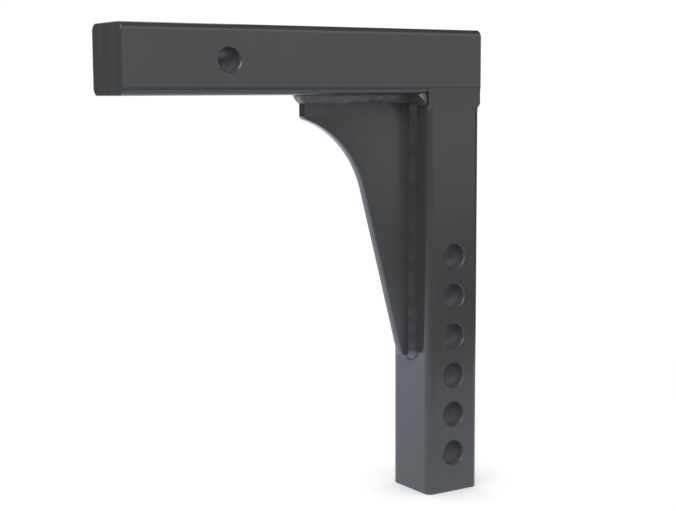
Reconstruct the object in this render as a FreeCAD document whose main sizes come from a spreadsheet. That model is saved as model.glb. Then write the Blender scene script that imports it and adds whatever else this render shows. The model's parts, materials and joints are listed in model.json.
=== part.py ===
import FreeCAD, Part
import math
import os
import Sketcher
from FreeCAD import Vector

# Drop hitch shank: two solid square bars welded into an upside-down L, with a gusset in the inner corner.
# Frame: the origin is the centre of the receiver pin hole, +X runs along the shank towards the drop bar,
# +Y runs along the pin hole and +Z is up. All sizes are in millimetres and degrees.
SIZES = {
    # square bar of both legs
    "bar_side": 50.0,
    "bar_corner": 6.0,
    "end_break": 0.5,
    # shank: the leg that slides into a receiver, up to the drop bar's rear face
    "shank_length": 304.8,
    "pin_from_tip": 82.0,
    "pin_hole_diameter": 17.5,
    # drop bar: the leg below the shank's underside, with a row of holes counted from its foot
    "drop_length": 317.5,
    "bolt_hole_diameter": 19.5,
    "bolt_pitch": 31.75,
    "bolt_from_foot": 31.75,
    "bolt_count": 6,
    # edge break at both ends of every cross hole
    "hole_break": 0.8,
    # gusset plate: reach along the shank, depth along the drop bar, slant of its long edge from the vertical
    "gusset_thickness": 8.0,
    "gusset_reach": 100.0,
    "gusset_depth": 206.0,
    "gusset_tip_depth": 17.75,
    "gusset_toe_width": 10.5,
    "gusset_slant": 14.88,
    "gusset_curve": 78.0,
    "gusset_tip_round": 4.0,
    "gusset_toe_round": 2.0,
    # fillet welds: leg lengths, how far a bead's face bulges, and where the inner corner weld stops;
    # the top weld reaches less far along the shank's underside than down the gusset
    "top_weld_leg": 6.5,
    "top_weld_reach": 4.5,
    "side_weld_leg": 5.0,
    "corner_weld_leg": 9.0,
    "corner_weld_setback": 2.0,
    "weld_crown": 0.7,
    # groove weld: bevel on the drop bar's top, height of the fade into the bar's round corners,
    # corner radius after grinding, and how far below the round's end the weld feathers out
    "groove_depth": 11.0,
    "groove_fade": 3.5,
    "groove_corner": 0.8,
    "groove_feather": 1.0,
}

# Places that several pieces share
HALF_BAR = "sizes.bar_side / 2"
UNDERSIDE = "-sizes.bar_side / 2"
INNER_FACE = "sizes.shank_length - sizes.pin_from_tip - sizes.bar_side"
DROP_AXIS = "sizes.shank_length - sizes.pin_from_tip - sizes.bar_side / 2"
HALF_PLATE = "sizes.gusset_thickness / 2"

doc = FreeCAD.newDocument("drop_hitch_shank")
sheet = doc.addObject("Spreadsheet::Sheet", "sizes")
for row, (alias, size) in enumerate(SIZES.items(), start=1):
    sheet.set(f"A{row}", alias.replace("_", " "))
    sheet.set(f"B{row}", str(size))
    sheet.setAlias(f"B{row}", alias)
doc.recompute()


def number(text):
    """What an expression on the sheet's sizes comes to."""
    return float(sheet.evalExpression(text))


def new_body(label, x="0", y="0", z="0"):
    """A body whose own origin stands at the given place."""
    body = doc.addObject("PartDesign::Body", label)
    body.Label = label
    for axis, text in zip("xyz", (x, y, z)):
        body.setExpression(f".Placement.Base.{axis}", text)
    return body


def origin_feature(body, role):
    return next(f for f in body.Origin.OriginFeatures if f.Role == role)


def feature(body, kind, name, sketch=None, sizes=None, **settings):
    """A feature of a body, with its sizes bound to expressions."""
    made = body.newObject(f"PartDesign::{kind}", name)
    if sketch:
        made.Profile = sketch
    for prop, value in settings.items():
        setattr(made, prop, value)
    for prop, text in (sizes or {}).items():
        made.setExpression(prop, text)
    body.Tip = made
    doc.recompute()
    return made


def arc_between(start, end, radius, turn):
    """The shorter arc from start to end: turn is 1 for anticlockwise and -1 for clockwise."""
    chord = end - start
    rise = math.sqrt(max(radius ** 2 - (chord.Length / 2) ** 2, 0.0))
    across = Vector(-chord.y, chord.x, 0).normalize()
    centre = (start + end) * 0.5 + across * rise * turn
    first, last = (start, end) if turn > 0 else (end, start)
    angles = [math.atan2(p.y - centre.y, p.x - centre.x) for p in (first, last)]
    return Part.ArcOfCircle(Part.Circle(centre, Vector(0, 0, 1), radius), *angles)


def pin_point(sketch, geo, pos, texts):
    """Ties a sketch point to its two coordinates."""
    for kind, axis, text in (("DistanceX", -2, texts[0]), ("DistanceY", -1, texts[1])):
        value = number(text)
        if text == "0":
            sketch.addConstraint(Sketcher.Constraint("PointOnObject", geo, pos, axis))
            continue
        ends = (-1, 1, geo, pos) if value > 0 else (geo, pos, -1, 1)
        index = sketch.addConstraint(Sketcher.Constraint(kind, *ends, abs(value)))
        sketch.setExpression(f"Constraints[{index}]", text if value > 0 else f"-({text})")


def outline(body, name, role, corners, arcs=None, lift="0", loose=()):
    """A closed sketch through its corners, given as pairs of expressions.

    arcs gives a radius and a turn for the side that starts at a corner. A corner in loose isn't tied to its
    coordinates: there the side before it runs tangent into the side after it.
    """
    arcs = arcs or {}
    sketch = body.newObject("Sketcher::SketchObject", name)
    sketch.AttachmentSupport = (origin_feature(body, role), [""])
    sketch.MapMode = "FlatFace"
    sketch.setExpression(".AttachmentOffset.Base.z", lift)
    points = [Vector(number(x), number(y), 0) for x, y in corners]
    count = len(points)
    ends = []
    for i, start in enumerate(points):
        end = points[(i + 1) % count]
        if i in arcs:
            radius, turn = arcs[i]
            sketch.addGeometry(arc_between(start, end, number(radius), turn))
            ends.append((1, 2) if turn > 0 else (2, 1))
        else:
            sketch.addGeometry(Part.LineSegment(start, end))
            ends.append((1, 2))
    for i in range(count):
        last = (i - 1) % count
        kind = "Tangent" if i in loose else "Coincident"
        sketch.addConstraint(Sketcher.Constraint(kind, last, ends[last][1], i, ends[i][0]))
        if i not in loose:
            pin_point(sketch, i, ends[i][0], corners[i])
    for i, (radius, turn) in arcs.items():
        index = sketch.addConstraint(Sketcher.Constraint("Radius", i, number(radius)))
        sketch.setExpression(f"Constraints[{index}]", radius)
    return sketch


def round_square(body, name, role, corner, lift="0"):
    """The bar's square section, centred, with round corners."""
    flat = f"({HALF_BAR} - {corner})"
    corners = [
        (f"-{flat}", f"-({HALF_BAR})"),
        (flat, f"-({HALF_BAR})"),
        (HALF_BAR, f"-{flat}"),
        (HALF_BAR, flat),
        (flat, HALF_BAR),
        (f"-{flat}", HALF_BAR),
        (f"-({HALF_BAR})", flat),
        (f"-({HALF_BAR})", f"-{flat}"),
    ]
    return outline(body, name, role, corners, {i: (corner, 1) for i in (1, 3, 5, 7)}, lift)


def hole_section(body, name, diameter, lift="0"):
    """Half the section of a cross hole with an edge break at each end, to be spun about the V axis."""
    wall = f"{diameter} / 2"
    rim = f"{diameter} / 2 + 2 * sizes.hole_break"
    inside = f"({HALF_BAR} - sizes.hole_break)"
    outside = f"({HALF_BAR} + sizes.hole_break)"
    corners = [
        ("0", f"-{outside}"),
        (rim, f"-{outside}"),
        (wall, f"-{inside}"),
        (wall, inside),
        (rim, outside),
        ("0", outside),
    ]
    return outline(body, name, "XY_Plane", corners, lift=lift)


def edges_where(shape, test):
    """Names of the edges whose every end point passes a test."""
    named = ((f"Edge{i}", edge) for i, edge in enumerate(shape.Edges, start=1))
    return [name for name, edge in named if all(test(v.Point) for v in edge.Vertexes)]


def near(value, text):
    return abs(value - number(text)) < 1e-4


def cut_by(label, base, tools):
    """A piece left from a blank once its neighbours are taken out of it."""
    piece = base
    for tool in tools:
        cut = doc.addObject("Part::Cut", f"{label}_less_{tool.Name}")
        cut.Base = piece
        cut.Tool = tool
        piece = cut
    piece.Label = label
    doc.recompute()
    return piece


def mirrored(label, source):
    """The same piece on the other side of the plane Y = 0."""
    copy = doc.addObject("Part::Mirroring", label)
    copy.Label = label
    copy.Source = source
    copy.Base = Vector(0, 0, 0)
    copy.Normal = Vector(0, 1, 0)
    return copy


def make_shank_bar():
    body = new_body("shank_bar")
    section = round_square(body, "shank_section", "YZ_Plane", "sizes.bar_corner", "-sizes.pin_from_tip")
    bar = feature(body, "Pad", "shank_stock", section, {"Length": "sizes.shank_length"})
    tip = edges_where(bar.Shape, lambda p: near(p.x, "-sizes.pin_from_tip"))
    feature(body, "Chamfer", "tip_break", sizes={"Size": "sizes.end_break"}, Base=(bar, tip))
    hole = hole_section(body, "pin_hole_section", "sizes.pin_hole_diameter")
    feature(body, "Groove", "pin_hole", hole, ReferenceAxis=(hole, ["V_Axis"]), Angle=360)
    return body


def make_drop_bar():
    """The drop bar hangs from its own origin, at the middle of its top end."""
    body = new_body("drop_bar", DROP_AXIS, "0", UNDERSIDE)
    section = round_square(body, "drop_section", "XY_Plane", "sizes.bar_corner")
    bar = feature(body, "Pad", "drop_stock", section, {"Length": "sizes.drop_length"}, Reversed=True)
    foot = edges_where(bar.Shape, lambda p: near(p.z, "-sizes.drop_length"))
    feature(body, "Chamfer", "foot_break", sizes={"Size": "sizes.end_break"}, Base=(bar, foot))
    for name, role, side in (
        ("rear_bevel", "XZ_Plane", ""),
        ("back_bevel", "YZ_Plane", ""),
        ("front_bevel", "YZ_Plane", "-"),
    ):
        outside = f"{side}({HALF_BAR} + sizes.groove_depth)"
        corners = [
            (f"{side}({HALF_BAR} - 2 * sizes.groove_depth)", "sizes.groove_depth"),
            (outside, "sizes.groove_depth"),
            (outside, "-2 * sizes.groove_depth"),
        ]
        bevel = outline(body, f"{name}_section", role, corners)
        feature(body, "Pocket", name, bevel, Type="ThroughAll", SideType="Symmetric")
    first = "sizes.bolt_from_foot - sizes.drop_length"
    hole = hole_section(body, "bolt_hole_section", "sizes.bolt_hole_diameter", first)
    lowest = feature(body, "Groove", "lowest_bolt_hole", hole, ReferenceAxis=(hole, ["V_Axis"]), Angle=360)
    feature(
        body,
        "LinearPattern",
        "bolt_holes",
        sizes={"Offset": "sizes.bolt_pitch", "Occurrences": "sizes.bolt_count"},
        Originals=[lowest],
        Direction=(origin_feature(body, "Z_Axis"), [""]),
        Mode="Spacing",
    )
    return body


def make_gusset_plate():
    """The gusset's own origin is the inner corner.

    Its long edge runs tangent into the concave curve. Where they meet is only guessed here, about halfway
    along the reach and a third of the way down: the tangency, the slant and the curve's radius settle it.
    """
    body = new_body("gusset_plate", INNER_FACE, "0", UNDERSIDE)
    tip_foot = ("-sizes.gusset_reach", "-sizes.gusset_tip_depth")
    meeting_guess = ("-sizes.gusset_reach / 2", "-sizes.gusset_depth / 3")
    corners = [
        ("0", "0"),
        ("-sizes.gusset_reach", "0"),
        tip_foot,
        meeting_guess,
        ("-sizes.gusset_toe_width", "-sizes.gusset_depth"),
        ("0", "-sizes.gusset_depth"),
    ]
    curve = corners.index(tip_foot)
    long_edge = corners.index(meeting_guess)
    arcs = {curve: ("sizes.gusset_curve", -1)}
    profile = outline(body, "gusset_outline", "XZ_Plane", corners, arcs, loose=(long_edge,))
    lean = "sizes.gusset_slant - 90"
    index = profile.addConstraint(Sketcher.Constraint("Angle", long_edge, math.radians(number(lean))))
    profile.setExpression(f"Constraints[{index}]", f"({lean}) * 1 deg")
    plate = feature(
        body, "Pad", "gusset_stock", profile, {"Length": "sizes.gusset_thickness"}, SideType="Symmetric"
    )
    tip = edges_where(
        plate.Shape,
        lambda p: near(p.x, "-sizes.gusset_reach") and near(p.z, "-sizes.gusset_tip_depth"),
    )
    radius = {"Radius": "sizes.gusset_tip_round"}
    rounded = feature(body, "Fillet", "tip_round", sizes=radius, Base=(plate, tip))
    toe = edges_where(
        rounded.Shape,
        lambda p: near(p.x, "-sizes.gusset_toe_width") and near(p.z, "-sizes.gusset_depth"),
    )
    radius = {"Radius": "sizes.gusset_toe_round"}
    feature(body, "Fillet", "toe_round", sizes=radius, Base=(rounded, toe))
    return body


def bead_section(body, name, role, reach, leg, rise="0"):
    """Section of a fillet weld in the corner at the sketch's origin, with a slightly bulging face.

    It reaches out to the left and its leg goes down. rise carries the face on past the corner's upper side,
    where that side curves away.
    """
    across = f"({reach} + {rise})"
    corners = [(f"-{across}", rise), ("0", rise), ("0", f"-{leg}")]
    chord = f"({across} ^ 2 + ({leg} + {rise}) ^ 2)"
    face = f"{chord} / (8 * sizes.weld_crown) + sizes.weld_crown / 2"
    bulge = len(corners) - 1
    return outline(body, name, role, corners, {bulge: (face, -1)})


def wrapped_bead(label, place, reach, leg, run, run_plane, turn_axis, turn_back):
    """A bead along one side of the gusset that turns a quarter round its end, to the middle of the plate."""
    body = new_body(label, *place)
    along = bead_section(body, f"{label}_run_section", run_plane, reach, leg)
    feature(body, "Pad", f"{label}_run", along, {"Length": run})
    turning = bead_section(body, f"{label}_turn_section", run_plane, reach, leg)
    feature(
        body,
        "Revolution",
        f"{label}_turn",
        turning,
        ReferenceAxis=(origin_feature(body, turn_axis), [""]),
        Angle=90,
        Reversed=turn_back,
    )
    across = bead_section(body, f"{label}_return_section", "XZ_Plane", reach, leg)
    feature(body, "Pad", f"{label}_return", across, {"Length": HALF_PLATE}, Reversed=True)
    return body


def make_groove_weld(bars):
    """Fills the bevels under the shank flush with the bars, and fades into the drop bar's round corners."""
    body = new_body("groove_weld_blank", DROP_AXIS, "0", UNDERSIDE)
    fade_top = "sizes.groove_fade - sizes.groove_depth"
    low = round_square(body, "fade_low_section", "XY_Plane", "sizes.bar_corner", "-sizes.groove_depth")
    high = round_square(body, "fade_high_section", "XY_Plane", "sizes.groove_corner", fade_top)
    feature(body, "AdditiveLoft", "fade", low, Sections=[high], Ruled=True)
    ground = round_square(body, "ground_section", "XY_Plane", "sizes.groove_corner", fade_top)
    height = "sizes.groove_depth - sizes.groove_fade + sizes.bar_corner - sizes.groove_feather"
    feature(body, "Pad", "ground_fill", ground, {"Length": height})
    return cut_by("corner_groove_weld", body, bars)


def make_corner_weld(neighbours):
    """The bead in the inner corner from the gusset's side to the front, shaped by all that it touches."""
    body = new_body("corner_weld_blank", INNER_FACE, f"-{HALF_PLATE}", UNDERSIDE)
    leg = "sizes.corner_weld_leg"
    section = bead_section(body, "corner_weld_section", "XZ_Plane", leg, leg, "sizes.bar_corner / 2")
    run =f"{HALF_BAR} - {HALF_PLATE} - sizes.corner_weld_setback"
    feature(body, "Pad", "corner_weld_run", section, {"Length": run})
    return cut_by("inner_corner_weld_front", body, neighbours)


shank_bar = make_shank_bar()
drop_bar = make_drop_bar()
gusset_plate = make_gusset_plate()
groove_weld = make_groove_weld([shank_bar, drop_bar])
top_weld = wrapped_bead(
    "gusset_top_weld_front",
    (f"{INNER_FACE} - sizes.gusset_reach", f"-{HALF_PLATE}", UNDERSIDE),
    "sizes.top_weld_reach",
    "sizes.top_weld_leg",
    "sizes.gusset_reach",
    "YZ_Plane",
    "Z_Axis",
    True,
)
side_blank = wrapped_bead(
    "side_weld_blank",
    (INNER_FACE, f"-{HALF_PLATE}", f"{UNDERSIDE} - sizes.gusset_depth"),
    "sizes.side_weld_leg",
    "sizes.side_weld_leg",
    "sizes.gusset_depth",
    "XY_Plane",
    "X_Axis",
    False,
)
side_weld = cut_by("gusset_side_weld_front", side_blank, [top_weld])
corner_weld = make_corner_weld([shank_bar, drop_bar, groove_weld, top_weld, side_weld])
pieces = [
    shank_bar,
    drop_bar,
    gusset_plate,
    groove_weld,
    top_weld,
    mirrored("gusset_top_weld_back", top_weld),
    side_weld,
    mirrored("gusset_side_weld_back", side_weld),
    corner_weld,
    mirrored("inner_corner_weld_back", corner_weld),
]
doc.recompute()

for item in doc.Objects:
    if "Invalid" in item.State or "Error" in item.State:
        raise RuntimeError(f"{item.Label} did not build: {item.State}")
for piece in pieces:
    shape = piece.Shape
    if shape.isNull() or not shape.isValid() or len(shape.Solids) != 1:
        raise RuntimeError(f"{piece.Label} is not one sound solid")

os.makedirs("parts", exist_ok=True)
for piece in pieces:
    piece.Shape.exportStep(f"parts/{piece.Label}.step")
    print(f"{piece.Label}: {piece.Shape.Volume / 1000:.2f} cm3")
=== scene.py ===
# %% [markdown]
# Drop hitch shank: a lesson in dressing a welded steel part.
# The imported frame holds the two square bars, the gusset plate and plain solids for the welds.
# The bars have their true shape there, so they keep their meshes and only get a finish.
# The plate gains the soft edges of a cut and painted plate, and every weld bead is laid anew, ripple by ripple.

# %% Load the frame
import json
import math
import random

import bmesh
import bpy
from mathutils import Matrix, Vector


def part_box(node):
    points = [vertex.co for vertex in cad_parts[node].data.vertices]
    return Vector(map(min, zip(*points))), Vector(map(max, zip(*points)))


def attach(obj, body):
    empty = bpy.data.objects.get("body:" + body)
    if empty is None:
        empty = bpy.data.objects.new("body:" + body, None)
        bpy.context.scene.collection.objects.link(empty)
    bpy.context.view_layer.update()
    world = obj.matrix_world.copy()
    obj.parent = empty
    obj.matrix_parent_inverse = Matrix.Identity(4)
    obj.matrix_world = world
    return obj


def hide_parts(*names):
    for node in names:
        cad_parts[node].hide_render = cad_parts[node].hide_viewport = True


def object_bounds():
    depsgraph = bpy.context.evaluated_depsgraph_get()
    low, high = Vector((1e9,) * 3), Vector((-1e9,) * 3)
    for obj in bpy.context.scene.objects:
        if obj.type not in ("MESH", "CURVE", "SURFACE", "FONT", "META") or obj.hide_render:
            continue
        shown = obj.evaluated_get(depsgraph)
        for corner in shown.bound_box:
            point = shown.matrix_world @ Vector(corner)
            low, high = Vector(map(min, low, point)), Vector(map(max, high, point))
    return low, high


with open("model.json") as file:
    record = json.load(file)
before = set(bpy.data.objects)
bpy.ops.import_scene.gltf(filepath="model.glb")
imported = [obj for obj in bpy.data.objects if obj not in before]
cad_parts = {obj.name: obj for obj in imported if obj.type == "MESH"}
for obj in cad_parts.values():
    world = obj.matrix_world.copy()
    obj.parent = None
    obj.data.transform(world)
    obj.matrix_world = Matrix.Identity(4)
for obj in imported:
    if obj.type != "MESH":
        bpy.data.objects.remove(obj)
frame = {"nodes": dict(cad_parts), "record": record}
cad_low, cad_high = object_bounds()
MM = 0.001
print("CAD box in mm:", [round(v / MM, 1) for v in cad_high - cad_low])

# %% [markdown]
# Places come from the frame: a node's box gives the bars' faces and the plate's ends.
# So if a bar grows in the CAD model, the welds and the finishes below follow it.

# %% Faces that the pieces meet at
shank_low, shank_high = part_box("shank_bar")
drop_low, drop_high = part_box("drop_bar")
plate_low, plate_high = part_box("gusset_plate")
UNDERSIDE = shank_low.z
INNER_FACE = drop_low.x
FOOT = drop_low.z
FRONT = -drop_low.y
HALF_PLATE = plate_high.y
GUSSET_TIP = plate_low.x
GUSSET_TOE = plate_low.z
print("underside, inner face, foot in mm:", [round(v / MM, 2) for v in (UNDERSIDE, INNER_FACE, FOOT)])

# %% [markdown]
# Finishes are node trees, so a few small helpers keep them readable.
# One turns an sRGB hex colour into the linear values that the shader works in.
# Another adds a node, sets its values and links its inputs in one go.

# %% Colour and node helpers
def linear(hex_colour):
    """An sRGB hex colour as linear RGBA."""
    parts = [int(hex_colour[i : i + 2], 16) / 255 for i in (1, 3, 5)]
    return [c / 12.92 if c <= 0.04045 else ((c + 0.055) / 1.055) ** 2.4 for c in parts] + [1.0]


def add_node(tree, kind, inputs=None, **settings):
    """A node with its settings, its input values and its links from other nodes' sockets."""
    node = tree.nodes.new(kind)
    for name, value in settings.items():
        setattr(node, name, value)
    for name, value in (inputs or {}).items():
        if isinstance(value, bpy.types.NodeSocket):
            tree.links.new(value, node.inputs[name])
        else:
            node.inputs[name].default_value = value
    return node


def per_mm(size):
    """Noise scale, in cycles per metre, for features of a size in millimetres."""
    return 1 / (size * MM)


print("half of sRGB in linear light:", round(linear("#808080")[0], 3))

# %% [markdown]
# The finish is semi-gloss black enamel, sprayed in one coat over hot-rolled steel.
# Paint like this is never one flat colour: it is a little thicker in places, its gloss drifts, and its surface
# dries with a faint orange peel. Mill scale under it leaves slow waves in the reflections.
# An image could show this, but it would stretch on each piece. Noise at the real sizes drives colour, roughness
# and bump instead, so the grain is the same everywhere.

# %% Enamel over steel
PATCH_MM, SHEEN_MM, WAVE_MM = 35, 12, 25
NOISE_LOW, NOISE_HIGH = 0.3, 0.7
PAINT_IOR = 1.5


def black_enamel(name, thick, thin, gloss, peel_mm, peel_height, wave_height):
    """Sprayed black enamel: thick and thin are its colours, gloss its roughness range, heights in mm."""
    material = bpy.data.materials.new(name)
    material.use_nodes = True
    tree = material.node_tree
    shader = tree.nodes["Principled BSDF"]
    place = add_node(tree, "ShaderNodeTexCoord").outputs["Object"]
    patches = add_node(tree, "ShaderNodeTexNoise", {"Vector": place, "Scale": per_mm(PATCH_MM), "Detail": 3.0})
    colour = add_node(
        tree,
        "ShaderNodeMix",
        {"Factor": patches.outputs["Fac"], "A": linear(thick), "B": linear(thin)},
        data_type="RGBA",
    )
    sheen = add_node(tree, "ShaderNodeTexNoise", {"Vector": place, "Scale": per_mm(SHEEN_MM), "Detail": 4.0})
    low, high = gloss
    roughness = add_node(
        tree,
        "ShaderNodeMapRange",
        {
            "Value": sheen.outputs["Fac"],
            "From Min": NOISE_LOW,
            "From Max": NOISE_HIGH,
            "To Min": low,
            "To Max": high,
        },
    )
    waves = add_node(tree, "ShaderNodeTexNoise", {"Vector": place, "Scale": per_mm(WAVE_MM), "Detail": 1.0})
    peel = add_node(tree, "ShaderNodeTexNoise", {"Vector": place, "Scale": per_mm(peel_mm), "Detail": 1.0})
    slow = add_node(tree, "ShaderNodeBump", {"Height": waves.outputs["Fac"], "Distance": wave_height * MM})
    fine = add_node(
        tree,
        "ShaderNodeBump",
        {"Height": peel.outputs["Fac"], "Distance": peel_height * MM, "Normal": slow.outputs["Normal"]},
    )
    tree.links.new(colour.outputs["Result"], shader.inputs["Base Color"])
    tree.links.new(roughness.outputs["Result"], shader.inputs["Roughness"])
    tree.links.new(fine.outputs["Normal"], shader.inputs["Normal"])
    shader.inputs["IOR"].default_value = PAINT_IOR
    return material


print("patches, sheen and waves in mm:", PATCH_MM, SHEEN_MM, WAVE_MM)

# %% [markdown]
# One gun paints the whole part, but the coat differs from place to place: satin on the bars, duller on the plate,
# glossier on a dressed edge. The welds' colours hold painted light and shade: the side beads are painted darker,
# as painted shade for the recessed corner that they lie in, and the beads under the shank lighter, as painted
# light.
# Each place gets its own enamel, so that each can be matched to the real one by itself.

# %% The coats
BLACK = ("#38393a", "#3d3e3f")
BAR_COAT = dict(gloss=(0.17, 0.24), peel_mm=2.2, peel_height=0.008, wave_height=0.05)
WELD_COAT = dict(peel_mm=1.2, peel_height=0.012, wave_height=0.03)
# Enamel on the bars: a satin black sheen, in which the long faces show the room as slow gradients.
shank_enamel = black_enamel("enamel_on_shank_bar", *BLACK, **BAR_COAT)
drop_enamel = black_enamel("enamel_on_drop_bar", *BLACK, **BAR_COAT)
# Enamel on the plate: a duller coat, so that the broad face keeps one even tone from its top to its toe.
plate_enamel = black_enamel(
    "enamel_on_plate", *BLACK, gloss=(0.25, 0.33), peel_mm=2.0, peel_height=0.008, wave_height=0.04
)
# Enamel on the cut edge: glossier, so that the dressed edge glints along the curve.
cut_enamel = black_enamel(
    "enamel_on_cut_edge", *BLACK, gloss=(0.16, 0.22), peel_mm=1.4, peel_height=0.006, wave_height=0.03
)
# Enamel over the side beads: a darker colour, as painted shade for the recessed corner between the plate and the
# bar.
shade_painted_weld_enamel = black_enamel("enamel_on_weld_painted_shade", "#2a2b2c", "#313233", gloss=(0.2, 0.3), **WELD_COAT)
# Enamel over the beads under the shank: duller, and a lighter grey, as painted light for the table's bounce and
# the highlights on their ripples.
light_painted_weld_enamel = black_enamel("enamel_on_weld_painted_light", "#48494b", "#535456", gloss=(0.24, 0.36), **WELD_COAT)
print("coats:", [m.name for m in bpy.data.materials if "enamel" in m.name])

# %% [markdown]
# Some places need another look than the rest of their piece: the walls of the holes, the bars' sawn ends and the
# end of a weld. They could be cut out as faces with a material of their own, but a CAD node's mesh is left alone.
# So a mask on the place of a point blends a new value over whatever drives the shader already.

# %% Blend over a shader input
def blend_input(tree, socket, mask, value, kind):
    """Mixes a value over whatever drives a shader input, by a mask."""
    before = socket.links[0].from_socket
    mix = add_node(tree, "ShaderNodeMix", {"Factor": mask}, data_type=kind)
    tree.links.new(before, mix.inputs["A"])
    mix.inputs["B"].default_value = value
    tree.links.new(mix.outputs["Result"], socket)
    return mix


print("coats with places of their own:", [m.name for m in (shank_enamel, drop_enamel, shade_painted_weld_enamel)])

# %% [markdown]
# Spray doesn't reach far into a drilled hole, so the coat there is thin and dries duller, and the bare steel greys
# the wall at the mouth. The grey then grows much lighter deeper in: painted light, which stands in for the light
# that the deep walls catch and cancels the shade of the hole's depth. The mask is a cylinder round each hole's
# axis, and the hole's place, size and pitch come from the part's own record.

# %% Thin paint and painted light in the holes
SLACK = 0.1 * MM
WALL_BEGINS, RIM_BEGINS = 0.85 * MM, 0.05 * MM
PAINTED_LIGHT_FROM, PAINTED_LIGHT_FULL = 6 * MM, 25 * MM
# The wall grey grows much lighter deeper in: painted light for the hole's shaded depth.
AT_THE_MOUTH, DEEP_PAINTED_LIGHT = "#4a4c50", "#b6b9bf"
HOLE_ROUGHNESS = 0.42


def painted_light_in_holes(material, centre, radius, rim, pitch=None):
    """Greyer, duller paint inside cross holes, painted lighter deeper in as painted light.

    centre is the first hole's, rim the size of its edge break, which dries dull too, and pitch their spacing.
    """
    tree = material.node_tree
    shader = tree.nodes["Principled BSDF"]
    place = add_node(tree, "ShaderNodeTexCoord").outputs["Object"]
    from_axis = add_node(tree, "ShaderNodeVectorMath", {0: place, 1: centre}, operation="SUBTRACT")
    apart = add_node(tree, "ShaderNodeSeparateXYZ", {0: from_axis.outputs[0]})
    up = apart.outputs["Z"]
    if pitch:
        wrapped = add_node(tree, "ShaderNodeMath", {0: up, 1: pitch / 2, 2: -pitch / 2}, operation="WRAP")
        up = wrapped.outputs[0]
    flat = add_node(tree, "ShaderNodeCombineXYZ", {0: apart.outputs["X"], 2: up})
    reach = add_node(tree, "ShaderNodeVectorMath", {0: flat.outputs[0]}, operation="LENGTH").outputs["Value"]
    depth = add_node(tree, "ShaderNodeMath", {0: apart.outputs["Y"]}, operation="ABSOLUTE").outputs[0]

    def zone(wide, deep):
        """A mask of the points within a radius of the axis and deeper than this under the faces."""
        near = add_node(tree, "ShaderNodeMath", {0: reach, 1: wide}, operation="LESS_THAN")
        under = add_node(tree, "ShaderNodeMath", {0: depth, 1: FRONT - deep}, operation="LESS_THAN")
        both = add_node(tree, "ShaderNodeMath", {0: near.outputs[0], 1: under.outputs[0]}, operation="MULTIPLY")
        return both.outputs[0]

    wall = zone(radius + SLACK, WALL_BEGINS)
    edge = zone(radius + 2 * rim + SLACK, RIM_BEGINS)
    inward = add_node(
        tree,
        "ShaderNodeMapRange",
        {"Value": depth, "From Min": FRONT - PAINTED_LIGHT_FROM, "From Max": FRONT - PAINTED_LIGHT_FULL},
    )
    painted_light_inward = add_node(
        tree,
        "ShaderNodeMix",
        {"Factor": inward.outputs[0], "A": linear(AT_THE_MOUTH), "B": linear(DEEP_PAINTED_LIGHT)},
        data_type="RGBA",
    )
    greyer = blend_input(tree, shader.inputs["Base Color"], wall, linear(AT_THE_MOUTH), "RGBA")
    tree.links.new(painted_light_inward.outputs["Result"], greyer.inputs["B"])
    blend_input(tree, shader.inputs["Roughness"], edge, HOLE_ROUGHNESS, "FLOAT")


MOUNTS = {m["name"]: m for m in frame["record"]["mounts"]}
PIN_HOLE, FIRST_BOLT, NEXT_BOLT = (MOUNTS[n] for n in ("receiver_pin_hole", "bolt_hole_1", "bolt_hole_2"))
BOLT_PITCH = NEXT_BOLT["pos_m"][2] - FIRST_BOLT["pos_m"][2]
BOLT_RIM = 0.8 * MM
painted_light_in_holes(shank_enamel, PIN_HOLE["pos_m"], PIN_HOLE["dims"]["r_mm"] * MM, 0.0)
painted_light_in_holes(drop_enamel, FIRST_BOLT["pos_m"], FIRST_BOLT["dims"]["r_mm"] * MM, BOLT_RIM, BOLT_PITCH)
print("bolt hole pitch in mm:", round(BOLT_PITCH / MM, 2))

# %% [markdown]
# The bars are sawn to length, and their ends keep the saw's lines under the paint: slow bands where the blade
# wandered, and finer scratches between them. Both run along the blade's stroke, so noise is stretched that way.
# Real scratches are about 0.3 mm apart, too fine to show here, so they are drawn three times as coarse.
# The slow bands also darken the end's colour: painted shade, for the darker reflections of the wavy sawn face.

# %% Saw lines on the ends
END_LAYER = 0.3 * MM
BAND_MM, SCRATCH_MM = 5, 0.9
STROKE_STRETCH = (0.03, 1.0, 0.03)
BANDS_TO_SCRATCHES = 3.0
SAW_HEIGHT = 0.06 * MM
SAWN_ROUGHNESS = 0.3
BAND_LOW, BAND_HIGH = 0.35, 0.65
SAWN_PAINTED_SHADE, PAINTED_SHADE_SHARE = "#2a2b2d", 0.8


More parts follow.
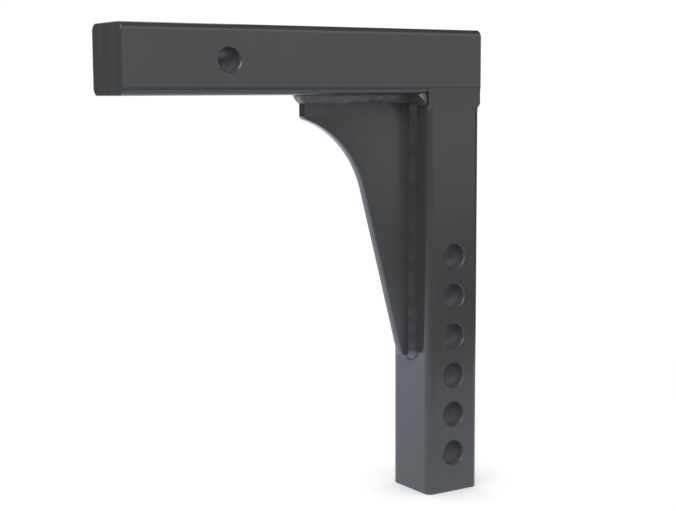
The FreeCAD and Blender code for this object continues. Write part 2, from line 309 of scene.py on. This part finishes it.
def saw_lines(material, axis, end):
    """Saw lines and banded painted shade on an end face: axis is the bar's direction, end its coordinate there."""
    tree = material.node_tree
    shader = tree.nodes["Principled BSDF"]
    place = add_node(tree, "ShaderNodeTexCoord").outputs["Object"]
    along = add_node(tree, "ShaderNodeSeparateXYZ", {0: place}).outputs[axis]
    mask = add_node(tree, "ShaderNodeMath", {0: along, 1: end, 2: END_LAYER}, operation="COMPARE").outputs[0]
    stretch = add_node(tree, "ShaderNodeMapping", {"Vector": place, "Scale": STROKE_STRETCH}).outputs[0]
    bands = add_node(tree, "ShaderNodeTexNoise", {"Vector": stretch, "Scale": per_mm(BAND_MM), "Detail": 2.0})
    scratches = add_node(
        tree, "ShaderNodeTexNoise", {"Vector": stretch, "Scale": per_mm(SCRATCH_MM), "Detail": 2.0}
    )
    height = add_node(
        tree,
        "ShaderNodeMath",
        {0: bands.outputs["Fac"], 1: BANDS_TO_SCRATCHES, 2: scratches.outputs["Fac"]},
        operation="MULTIPLY_ADD",
    )
    masked = add_node(tree, "ShaderNodeMath", {0: height.outputs[0], 1: mask}, operation="MULTIPLY")
    before = shader.inputs["Normal"].links[0].from_socket
    sawn = add_node(
        tree, "ShaderNodeBump", {"Height": masked.outputs[0], "Distance": SAW_HEIGHT, "Normal": before}
    )
    tree.links.new(sawn.outputs["Normal"], shader.inputs["Normal"])
    blend_input(tree, shader.inputs["Roughness"], mask, SAWN_ROUGHNESS, "FLOAT")
    # The slow bands also darken the end's colour: painted shade for the wavy face's darker reflections.
    dark = add_node(
        tree,
        "ShaderNodeMapRange",
        {"Value": bands.outputs["Fac"], "From Min": BAND_LOW, "From Max": BAND_HIGH, "To Max": PAINTED_SHADE_SHARE},
    )
    shade = add_node(tree, "ShaderNodeMath", {0: dark.outputs[0], 1: mask}, operation="MULTIPLY")
    blend_input(tree, shader.inputs["Base Color"], shade.outputs[0], linear(SAWN_PAINTED_SHADE), "RGBA")


saw_lines(shank_enamel, "X", shank_low.x)
saw_lines(drop_enamel, "Z", FOOT)
print("nodes in the shank's enamel:", len(shank_enamel.node_tree.nodes))

# %% [markdown]
# The welder dwells under the gusset's toe and leaves a pad of weld there that faces down and away from the gun.
# Its lower end is painted a lighter grey than the bead that it ends: painted light, for the bright table that it
# reflects. A mask on the height does that too.

# %% Painted light under the toe
PAD_TOP, PAD_FULL = GUSSET_TOE + 4.5 * MM, GUSSET_TOE - 1 * MM
PAD_PAINTED_LIGHT = "#5c5e63"
tree = shade_painted_weld_enamel.node_tree
place = add_node(tree, "ShaderNodeTexCoord").outputs["Object"]
up = add_node(tree, "ShaderNodeSeparateXYZ", {0: place}).outputs["Z"]
# The pad's lighter grey is painted light for the table that it reflects.
pad_painted_light_mask = add_node(tree, "ShaderNodeMapRange", {"Value": up, "From Min": PAD_TOP, "From Max": PAD_FULL})
blend_input(
    tree, tree.nodes["Principled BSDF"].inputs["Base Color"], pad_painted_light_mask.outputs[0], linear(PAD_PAINTED_LIGHT), "RGBA"
)
print("pad under the toe from z in mm:", round(PAD_TOP / MM, 1))

# %% [markdown]
# The two bars and the corner weld, which is ground flush, already have their true shape in the CAD model.
# Only their material changes: the slot of each node is given its enamel, and the mesh stays as it came.

# %% Give the finishes to the frame's own nodes
NODE_FINISH = {"shank_bar": shank_enamel, "drop_bar": drop_enamel, "corner_groove_weld": plate_enamel}
for node, finish in NODE_FINISH.items():
    frame["nodes"][node].material_slots[0].material = finish
print("painted nodes:", list(NODE_FINISH))

# %% [markdown]
# The gusset is cut from flat plate by a torch or plasma. Its outline could be drawn again from its sizes, but
# tracing the CAD node is surer, as one would trace a template: all but the front face of a copy is deleted, its
# points are merged, and what is left is dissolved into one flat outline.

# %% Trace the gusset's outline
FACES_SIDE = 0.9
SAME_POINT = 0.01 * MM
FLAT_ANGLE = math.radians(0.05)
bpy.ops.object.select_all(action="DESELECT")
template = frame["nodes"]["gusset_plate"]
template.select_set(True)
bpy.context.view_layer.objects.active = template
bpy.ops.object.duplicate()
gusset = bpy.context.object
gusset.name = "dressed_gusset"
bpy.ops.mesh.customdata_custom_splitnormals_clear()
bpy.ops.object.mode_set(mode="EDIT")
bpy.ops.mesh.select_mode(type="FACE")
bpy.ops.mesh.select_all(action="DESELECT")
shape = bmesh.from_edit_mesh(gusset.data)
for face in shape.faces:
    face.select_set(face.normal.y > -FACES_SIDE)
bpy.ops.mesh.delete(type="FACE")
bpy.ops.mesh.select_all(action="SELECT")
bpy.ops.mesh.remove_doubles(threshold=SAME_POINT)
bpy.ops.mesh.dissolve_limited(angle_limit=FLAT_ANGLE)
print("corners of the outline:", len(bmesh.from_edit_mesh(gusset.data).verts))

# %% [markdown]
# The outline is extruded to the plate's thickness. Its corners are dressed with a grinder before painting, so they
# are bevelled by a little under a millimetre: enough to catch a line of light along the curve.

# %% Thicken it and soften its edges
EDGE_ROUND = 0.9 * MM
SHARP_ANGLE, SMOOTH_ANGLE = math.radians(60), math.radians(35)
bpy.ops.mesh.select_all(action="SELECT")
bpy.ops.mesh.extrude_region_move(TRANSFORM_OT_translate={"value": (0, 2 * HALF_PLATE, 0)})
bpy.ops.mesh.select_all(action="SELECT")
bpy.ops.mesh.normals_make_consistent(inside=False)
bpy.ops.object.mode_set(mode="OBJECT")
soften = gusset.modifiers.new("ground edges", "BEVEL")
soften.width = EDGE_ROUND
soften.segments = 3
soften.limit_method = "ANGLE"
soften.angle_limit = SHARP_ANGLE
bpy.ops.object.modifier_apply(modifier=soften.name)
bpy.ops.object.shade_smooth_by_angle(angle=SMOOTH_ANGLE)
gusset.data.materials.clear()
gusset.data.materials.append(plate_enamel)
gusset.data.materials.append(cut_enamel)
for face in gusset.data.polygons:
    face.material_index = 0 if abs(face.normal.y) > FACES_SIDE else 1
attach(gusset, "root")
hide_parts("gusset_plate")
print("gusset faces:", len(gusset.data.polygons))

# %% [markdown]
# A torch leaves drag lines: fine, nearly parallel furrows across a cut edge, about a millimetre apart.
# Noise that is stretched across the plate's thickness draws long lines from one face to the other.
# A shallow bump is enough, because the paint fills most of each furrow.

# %% Drag lines on the cut edge
DRAG_MM = 1.1
DRAG_STRETCH = (1.0, 0.06, 1.0)
DRAG_HEIGHT = 0.02 * MM
tree = cut_enamel.node_tree
shader = tree.nodes["Principled BSDF"]
place = add_node(tree, "ShaderNodeTexCoord").outputs["Object"]
across = add_node(tree, "ShaderNodeMapping", {"Vector": place, "Scale": DRAG_STRETCH}).outputs[0]
drag = add_node(tree, "ShaderNodeTexNoise", {"Vector": across, "Scale": per_mm(DRAG_MM), "Detail": 1.0})
before = shader.inputs["Normal"].links[0].from_socket
cut = add_node(
    tree, "ShaderNodeBump", {"Height": drag.outputs["Fac"], "Distance": DRAG_HEIGHT, "Normal": before}
)
tree.links.new(cut.outputs["Normal"], shader.inputs["Normal"])
print("drag lines per 10 mm of edge:", round(10 / DRAG_MM))

# %% [markdown]
# A fillet weld fills the corner between two plates. Each pulse of the torch leaves a small crescent, so along its
# length the bead swells and shrinks by a fraction of a millimetre, and its ripples bow forward in the middle.
# Displacing a smooth strip would lose those crescents. Instead the bead is laid as a welder lays it: one bowed
# section, extruded a small step at a time, and scaled a little at each step about the root of the corner.

# %% The section of a bead
FACE_POINTS = 9
SUNK = 0.5


def bead_section(leg_a, leg_b, crown, sunk_a, crescent):
    """Points round a bead's section: distance along each plate, and how far ahead each one leads, in mm."""
    points = []
    for i in range(FACE_POINTS):
        t = i / (FACE_POINTS - 1)
        arch = 4 * t * (1 - t)
        bulge = crown * arch / math.sqrt(2)
        points.append((leg_a * (1 - t) + bulge, leg_b * t + bulge, crescent * arch))
    return [(leg_a, -sunk_a, 0.0)] + points + [(-SUNK, leg_b, 0.0), (-SUNK, -sunk_a, 0.0)]


print("points round a bead's section:", len(bead_section(6.5, 6.5, 0.7, SUNK, 1.6)))

# %% [markdown]
# Laying a bead is a walk along the corner. Each step extrudes the section a little way and scales it about the
# root, and four steps make one ripple. Slow drifts in the scale stand for the welder's hand.
# A small dictionary stands for the torch: where it is, where it heads and how large the section is by now.

# %% Start a bead and take a step
STEPS = 4
RIPPLE_FORM = (0.0, 0.8, 1.0, 0.3)
DRIFT = ((5.0, 0.012), (9.0, 0.018), (17.0, 0.02))
STEPS_TURN = 2 * math.pi / STEPS
STRIDE_LEAST, STRIDE_MOST = 0.7, 1.3
CRESCENT_SHARE = 0.6


def start_bead(name, section, root, ways):
    """The first section of a bead as a filled outline in edit mode, all of it selected."""
    travel, side_a, side_b = ways
    bpy.ops.object.select_all(action="DESELECT")
    bpy.ops.mesh.primitive_circle_add(vertices=len(section), fill_type="NGON", enter_editmode=True)
    bead = bpy.context.object
    bead.name = name
    mesh = bmesh.from_edit_mesh(bead.data)
    for vert, (a, b, ahead) in zip(mesh.verts, section):
        vert.co = root + (side_a * a + side_b * b + travel * ahead) * MM
    bmesh.update_edit_mesh(bead.data)
    bpy.ops.mesh.select_all(action="SELECT")
    return bead


def take_step(torch, stride, size):
    """Extrudes the section along the torch's heading and brings it to a size about the root."""
    bpy.ops.mesh.extrude_region_move(TRANSFORM_OT_translate={"value": torch["heading"] * stride})
    torch["place"] = torch["place"] + torch["heading"] * stride
    bpy.ops.transform.resize(value=(size / torch["size"],) * 3, center_override=torch["place"])
    torch["size"] = size


print("steps in a ripple:", STEPS, "of forms", RIPPLE_FORM)

# %% [markdown]
# At the plate's end the section swings round that end, as the torch does, so that no gap is left for water.
# Under the toe the welder dwells, so the bead widens there and its face swells into a pad.

# %% Swing round the plate's end
SWINGS = 12


def swing_round(bead, torch, side_a, side_b, legs, turn):
    """Swings the section round a hub in small turns, and widens and swells it on the way."""
    swing = Matrix.Rotation(turn["angle"] / SWINGS, 4, turn["axis"])
    about = Matrix.Translation(turn["hub"]) @ swing @ Matrix.Translation(-turn["hub"])
    widen = turn["spread"] ** (1 / SWINGS)
    for _ in range(SWINGS):
        bpy.ops.mesh.extrude_region_move(TRANSFORM_OT_translate={"value": (0, 0, 0)})
        live = bmesh.from_edit_mesh(bead.data)
        moved = [v for v in live.verts if v.select]
        bmesh.ops.transform(live, matrix=about, verts=moved)
        torch["place"] = about @ torch["place"]
        torch["heading"] = swing.to_3x3() @ torch["heading"]
        side_a = swing.to_3x3() @ side_a
        for vert in moved:
            along_a = max(0, (vert.co - torch["place"]).dot(side_a)) / (legs[0] * MM)
            along_b = max(0, (vert.co - torch["place"]).dot(side_b)) / (legs[1] * MM)
            vert.co += (side_a + side_b) * along_a * along_b * turn["bulge"] / SWINGS
        bmesh.update_edit_mesh(bead.data)
        bpy.ops.transform.resize(value=(widen, 1, 1), center_override=torch["place"])


print("swings in a quarter turn:", SWINGS)

# %% [markdown]
# A finished bead is rounded by one level of subdivision and made a little lumpy by a cloud texture.
# Both modifiers are applied, so the ripples are in the mesh and show in its outline, unlike a bump in a material.

# %% Round a bead
LUMP_SIZE = 7 * MM


def finish_bead(bead, lumps):
    """Rounds the ripples and makes the bead a little lumpy, as hand welding is."""
    smooth = bead.modifiers.new("rounded ripples", "SUBSURF")
    smooth.levels = smooth.render_levels = 1
    bpy.ops.object.modifier_apply(modifier=smooth.name)
    cloud = bpy.data.textures.new(f"lumps_{bead.name}", "CLOUDS")
    cloud.noise_scale = LUMP_SIZE
    lumpy = bead.modifiers.new("lumps", "DISPLACE")
    lumpy.texture = cloud
    lumpy.texture_coords = "LOCAL"
    lumpy.strength = lumps * MM
    bpy.ops.object.modifier_apply(modifier=lumpy.name)
    bpy.ops.object.shade_smooth()


print("lumps in mm:", round(LUMP_SIZE / MM, 1))

# %% [markdown]
# The whole bead is then: a start, a straight run of ripples, and either a swing round the plate's end or three
# shrinking steps, where the welder fills the crater and lifts the torch.

# %% Lay a bead
LAST_STEP = 0.65
CRATER_STEP = 0.7 * MM
CRATER_SIZES = (0.93, 0.8, 0.55)


def lay_bead(
    name, node, seed, root, ways, legs, crown, run, ripple, swell, lumps, finish, turn=None, sunk_a=SUNK
):
    """A rippled bead along a straight run, then round a quarter turn to the middle of the plate.

    root is where the bead starts, in the corner. ways are its travel and the directions along the two plates.
    ripple is the ripples' pitch and swell their height as a share of the bead, in mm and as a factor.
    lumps is the depth in mm of the hand's unevenness, and finish the coat of paint.
    turn gives the axis and the angle of the quarter turn, the hub it swings about, how far the bead goes on
    after it, how much wider along X it ends and how far its face swells out.
    """
    rng = random.Random(seed)
    bead = start_bead(name, bead_section(*legs, crown, sunk_a, ripple * CRESCENT_SHARE), root, ways)
    torch = {"place": root.copy(), "heading": ways[0].copy(), "size": 1.0}
    phases = [rng.uniform(0, 2 * math.pi) for _ in DRIFT]

    def step(k, advance):
        drift = sum(high * math.sin(k * STEPS_TURN / long + p) for (long, high), p in zip(DRIFT, phases))
        stride = advance * rng.uniform(STRIDE_LEAST, STRIDE_MOST)
        take_step(torch, stride, 1 + swell * RIPPLE_FORM[k % STEPS] + drift)
        return stride

    gone, k = 0.0, 0
    advance = ripple * MM / STEPS
    while gone < run - advance * LAST_STEP:
        gone += step(k, min(advance, (run - gone) / STRIDE_MOST))
        k += 1
    if turn:
        swing_round(bead, torch, ways[1], ways[2], legs, turn)
        for k in range(STEPS):
            step(k, turn["beyond"] / STEPS)
    else:
        for size in CRATER_SIZES:
            take_step(torch, CRATER_STEP, size)
    bpy.ops.mesh.select_all(action="SELECT")
    bpy.ops.mesh.normals_make_consistent(inside=False)
    bpy.ops.object.mode_set(mode="OBJECT")
    finish_bead(bead, lumps)
    bead.data.materials.append(finish)
    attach(bead, "root")
    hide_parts(node)
    return bead


print("sizes of the crater's steps:", CRATER_SIZES)

# %% [markdown]
# Three beads lie on each side of the plate: one along its top, which turns round its tip, one down its side,
# which turns under its toe, and a heavier one in the open corner between the bars.
# Each side has its own seed, because no two hand-laid beads are alike.

# %% Beads on both sides of the plate
X, Y, Z = Vector((1, 0, 0)), Vector((0, 1, 0)), Vector((0, 0, 1))
QUARTER = math.radians(90)
START = 1 * MM
CORNER_RUN = 17.5 * MM
CORNER_START = 0.9
TOE_HUB = 3.5 * MM
for side, word, seed in ((-1, "front", 11), (1, "back", 23)):
    out = Y * side
    plate = HALF_PLATE * side
    tip = Vector((GUSSET_TIP, plate, UNDERSIDE))
    toe = Vector((INNER_FACE, 0, GUSSET_TOE + TOE_HUB))
    top = lay_bead(
        f"top_bead_{word}",
        f"gusset_top_weld_{word}",
        seed,
        root=Vector((INNER_FACE + START, plate, UNDERSIDE)),
        ways=(-X, out, -Z),
        legs=(4.5, 6.5),
        crown=0.4,
        run=INNER_FACE + START - GUSSET_TIP,
        ripple=3.0,
        swell=0.02,
        lumps=0.55,
        finish=light_painted_weld_enamel,
        turn=dict(axis=Z, angle=QUARTER * side, hub=tip, beyond=HALF_PLATE, spread=1.0, bulge=0.0),
    )
    down = lay_bead(
        f"side_bead_{word}",
        f"gusset_side_weld_{word}",
        seed + 1,
        root=Vector((INNER_FACE, plate, UNDERSIDE - START)),
        ways=(-Z, out, -X),
        legs=(5.0, 5.0),
        crown=0.2,
        run=UNDERSIDE - START - toe.z,
        ripple=2.8,
        swell=0.006,
        lumps=0.18,
        finish=shade_painted_weld_enamel,
        turn=dict(axis=X, angle=-QUARTER * side, hub=toe, beyond=START, spread=1.4, bulge=1.5 * MM),
    )
    corner = lay_bead(
        f"corner_bead_{word}",
        f"inner_corner_weld_{word}",
        seed + 2,
        root=Vector((INNER_FACE, plate * CORNER_START, UNDERSIDE)),
        ways=(out, -X, -Z),
        legs=(7.5, 9.0),
        crown=0.6,
        run=CORNER_RUN,
        ripple=5.0,
        swell=0.05,
        lumps=0.6,
        finish=light_painted_weld_enamel,
        sunk_a=2.0,
    )
    print(word, "beads:", [len(b.data.polygons) for b in (top, down, corner)])

# %% [markdown]
# The studio is a pale table top in soft light. Black paint shows little but what it reflects, so the table matters
# more to the look than to the picture's edge: it is what lights the lower faces from below.
# The table ends not far from the part, as a real one does, and that end is the soft step in the bars' reflections.

# %% Table top
TABLE_LOW, TABLE_HIGH = Vector((-0.9, -0.4)), Vector((0.75, 1.1))
bpy.ops.object.select_all(action="DESELECT")
centre = (TABLE_LOW + TABLE_HIGH) / 2
bpy.ops.mesh.primitive_plane_add(size=1, location=(centre.x, centre.y, FOOT))
table = bpy.context.object
table.name = "table_top"
table.scale = (*(TABLE_HIGH - TABLE_LOW), 1)
print("table top in mm:", [round(v / MM) for v in TABLE_HIGH - TABLE_LOW])

# %% [markdown]
# To the camera the table is white paper that greys softly where the part stands on it: mostly painted shadow, from
# an occlusion mask on its glow, and partly the real shade on its dull share.
# To a reflection it is a cool, bright sheet that is brighter towards the back. To all other light it is a dull
# pale surface. The light path tells the three apart.

# %% Pale table
SHADE_REACH = 0.12
HIDDEN, OPEN = 0.5, 0.93
PAINTED_SHADOW_DARKEST, PAPER_BRIGHT = 0.72, 1.15
PAPER_SHARE = 0.8
GLARE_FROM, GLARE_TO = -0.35, 0.1
GLARE_FRONT, GLARE_BACK = 1.2, 1.9
# Pale table: white to the camera, with a painted soft shadow where the part stands on it.
pale = bpy.data.materials.new("pale_table")
pale.use_nodes = True
tree = pale.node_tree
tree.nodes.remove(tree.nodes["Principled BSDF"])
path = add_node(tree, "ShaderNodeLightPath")
dull = add_node(tree, "ShaderNodeBsdfDiffuse", {"Color": linear("#f2f4f6")})
nearby = add_node(tree, "ShaderNodeAmbientOcclusion", {"Distance": SHADE_REACH}, samples=16)
shade = add_node(
    tree,
    "ShaderNodeMapRange",
    {
        "Value": nearby.outputs["AO"],
        "From Min": HIDDEN,
        "From Max": OPEN,
        "To Min": PAINTED_SHADOW_DARKEST,
        "To Max": PAPER_BRIGHT,
    },
)
bright = add_node(tree, "ShaderNodeEmission", {"Color": linear("#ffffff"), "Strength": shade.outputs[0]})
back = add_node(tree, "ShaderNodeSeparateXYZ", {0: add_node(tree, "ShaderNodeTexCoord").outputs["Object"]})
glare = add_node(
    tree,
    "ShaderNodeMapRange",
    {
        "Value": back.outputs["Y"],
        "From Min": GLARE_FROM,
        "From Max": GLARE_TO,
        "To Min": GLARE_FRONT,
        "To Max": GLARE_BACK,
    },
)
cool = add_node(tree, "ShaderNodeEmission", {"Color": linear("#e8f0ff"), "Strength": glare.outputs[0]})
shadowed = add_node(tree, "ShaderNodeMixShader", {0: PAPER_SHARE, 1: dull.outputs[0], 2: bright.outputs[0]})
direct = add_node(
    tree, "ShaderNodeMixShader", {0: path.outputs["Is Camera Ray"], 1: dull.outputs[0], 2: shadowed.outputs[0]}
)
mixed = add_node(
    tree, "ShaderNodeMixShader", {0: path.outputs["Is Glossy Ray"], 1: direct.outputs[0], 2: cool.outputs[0]}
)
tree.links.new(mixed.outputs[0], tree.nodes["Material Output"].inputs["Surface"])
table.data.materials.append(pale)
print("nodes in the table's material:", len(tree.nodes))

# %% [markdown]
# The world does two jobs. For the camera it is white paper. For reflections it is a dim room, dark overhead,
# which is what makes black paint look black.

# %% World
HORIZON, ZENITH = 0.2, 0.02
DARK_ABOVE = 0.7
PAPER_WHITE = 1.03
world = bpy.data.worlds.new("studio")
bpy.context.scene.world = world
world.use_nodes = True
tree = world.node_tree
tree.nodes.remove(tree.nodes["Background"])
way = add_node(tree, "ShaderNodeTexCoord").outputs["Generated"]
height = add_node(tree, "ShaderNodeSeparateXYZ", {0: way}).outputs["Z"]
dimming = add_node(
    tree,
    "ShaderNodeMapRange",
    {"Value": height, "From Max": DARK_ABOVE, "To Min": HORIZON, "To Max": ZENITH},
    interpolation_type="SMOOTHSTEP",
)
room = add_node(tree, "ShaderNodeBackground", {"Color": linear("#f7f9fc"), "Strength": dimming.outputs[0]})
white = add_node(tree, "ShaderNodeBackground", {"Color": linear("#ffffff"), "Strength": PAPER_WHITE})
path = add_node(tree, "ShaderNodeLightPath")
backdrop = add_node(
    tree, "ShaderNodeMixShader", {0: path.outputs["Is Camera Ray"], 1: room.outputs[0], 2: white.outputs[0]}
)
tree.links.new(backdrop.outputs[0], tree.nodes["World Output"].inputs["Surface"])
print("room light from horizon to zenith:", HORIZON, ZENITH)

# %% [markdown]
# Soft boxes are large, so their reflections have soft ends. The wall of light at the front right gives the long
# faces their grey sheen, and the others lift the sides that it can't reach.

# %% Soft boxes
SOFT_BOXES = {
    "wall_of_light": dict(place=(0.82, -1.43, 0.3), width=1.5, height=1.2, power=3.7),
    "key": dict(place=(1.0, -1.3, 1.15), width=1.4, height=0.8, power=4),
    "fill": dict(place=(-1.35, -0.6, 1.3), width=2.0, height=1.2, power=25),
    "by_camera": dict(place=(-0.75, -1.35, 0.8), width=2.6, height=1.25, power=27),
    "behind": dict(place=(0.1, 1.5, 1.1), width=1.8, height=0.9, power=8),
}
AIM = (cad_low + cad_high) / 2


def soft_box(name, place, width, height, power):
    """A rectangular area lamp at a place, in metres and watts, facing the middle of the part."""
    lamp = bpy.data.lights.new(name, "AREA")
    lamp.shape = "RECTANGLE"
    lamp.size = width
    lamp.size_y = height
    lamp.energy = power
    holder = bpy.data.objects.new(name, lamp)
    bpy.context.scene.collection.objects.link(holder)
    holder.location = place
    holder.rotation_euler = (AIM - Vector(place)).to_track_quat("-Z", "Y").to_euler()


for name, box in SOFT_BOXES.items():
    soft_box(name, **box)
print("soft boxes:", list(SOFT_BOXES))

# %% [markdown]
# The camera stands where the photograph was taken from. Its place, aim and focal length were fitted to the outline
# of the bars, so the render can be laid over the photograph.

# %% Camera
FRAME_WIDTH = 676
FOCAL_PIXELS = 1362.58
SENSOR = 36.0
CAMERA_PLACE = Vector((-455.06, -876.20, -24.58)) * MM
YAW, PITCH, ROLL = (math.radians(a) for a in (32.567, -6.741, 0.271))
forward = Vector((math.sin(YAW) * math.cos(PITCH), math.cos(YAW) * math.cos(PITCH), math.sin(PITCH)))
level = Vector((math.cos(YAW), -math.sin(YAW), 0))
down = forward.cross(level)
right = level * math.cos(ROLL) + down * math.sin(ROLL)
below = down * math.cos(ROLL) - level * math.sin(ROLL)
lens = bpy.data.cameras.new("camera")
lens.sensor_width = SENSOR
lens.lens = FOCAL_PIXELS / FRAME_WIDTH * SENSOR
lens.clip_start = 0.01
camera = bpy.data.objects.new("camera", lens)
bpy.context.scene.collection.objects.link(camera)
turned = Matrix((right, -below, -forward)).transposed().to_4x4()
camera.matrix_world = Matrix.Translation(CAMERA_PLACE) @ turned
bpy.context.scene.camera = camera
bpy.context.scene.view_settings.view_transform = "Standard"
print("focal length in mm:", round(lens.lens, 2))
